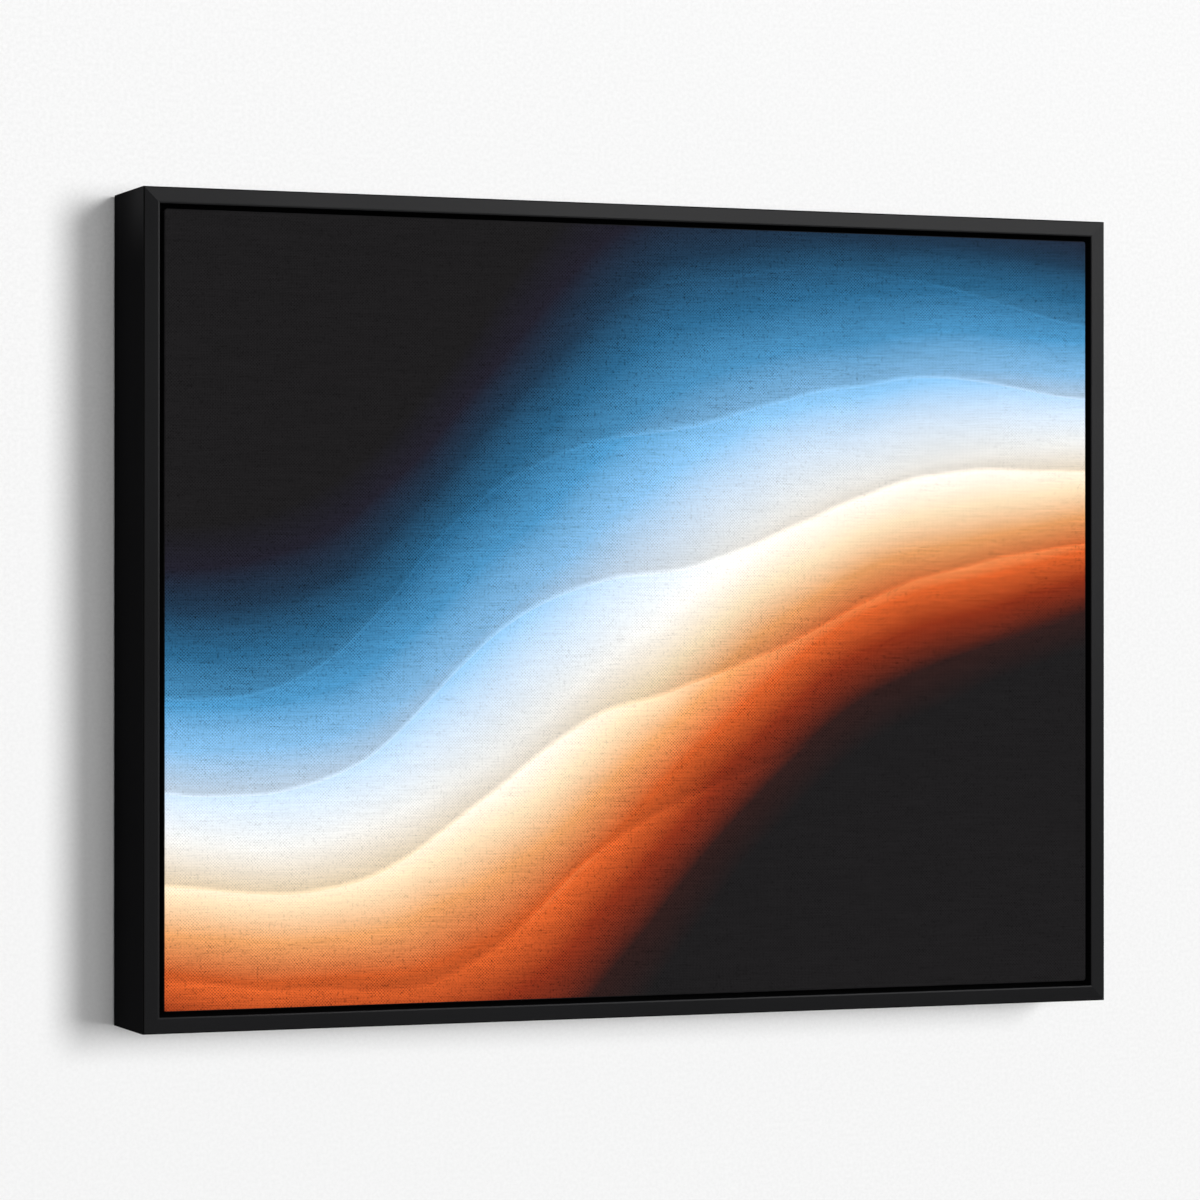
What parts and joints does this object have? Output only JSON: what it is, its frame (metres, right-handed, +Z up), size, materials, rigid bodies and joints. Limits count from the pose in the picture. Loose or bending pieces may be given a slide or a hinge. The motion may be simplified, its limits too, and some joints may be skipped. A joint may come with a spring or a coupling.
{
  "type": "framed canvas print",
  "caption": "Landscape canvas print stretched on pine bars in a thin black floater frame, with corner keys, bumpers and ring hangers behind.",
  "frame": {"origin": "centre of the plane of the wall that the bumpers rest on, behind the middle of the frame", "axes": "+X to the viewer's right, -Y out of the wall towards the viewer, +Z up"},
  "size_m": [0.417, 0.0448, 0.327],
  "materials": {
    "rail": "black satin lacquer on wood",
    "bar": "raw planed pine",
    "canvas": "woven canvas, printed in front and on its edges, bare behind",
    "key": "raw beech",
    "fixing_screw": "zinc plated",
    "bumper": "matt black rubber",
    "strap": "zinc plated sheet",
    "strap_screw": "zinc plated",
    "ring": "nickel plated wire"
  },
  "bodies": {
    "frame": {"rail_top": "rail", "rail_right": "rail", "rail_bottom": "rail", "rail_left": "rail", "bar_top": "bar", "bar_right": "bar", "bar_bottom": "bar", "bar_left": "bar", "canvas": "canvas", "key_bottom_left_a": "key", "key_bottom_left_b": "key", "key_bottom_right_a": "key", "key_bottom_right_b": "key", "key_top_left_a": "key", "key_top_left_b": "key", "key_top_right_a": "key", "key_top_right_b": "key", "fixing_screw_1": "fixing_screw", "fixing_screw_2": "fixing_screw", "fixing_screw_3": "fixing_screw", "fixing_screw_4": "fixing_screw", "fixing_screw_5": "fixing_screw", "fixing_screw_6": "fixing_screw", "fixing_screw_7": "fixing_screw", "fixing_screw_8": "fixing_screw", "bumper_bottom_left": "bumper", "bumper_bottom_right": "bumper", "bumper_top_left": "bumper", "bumper_top_right": "bumper", "strap_left": "strap", "strap_right": "strap", "strap_screw_left": "strap_screw", "strap_screw_right": "strap_screw"},
    "ring_left": {"ring_left": "ring"},
    "ring_right": {"ring_right": "ring"}
  },
  "joints": [
    {"name": "ring_left_swing", "type": "hinge", "parent": "frame", "child": "ring_left", "pos_m": [-0.1726, -0.0092, 0.052], "axis": [1, 0, 0], "range_deg": [0, 180]},
    {"name": "ring_right_swing", "type": "hinge", "parent": "frame", "child": "ring_right", "pos_m": [0.1726, -0.0092, 0.052], "axis": [1, 0, 0], "range_deg": [0, 180]}
  ]
}
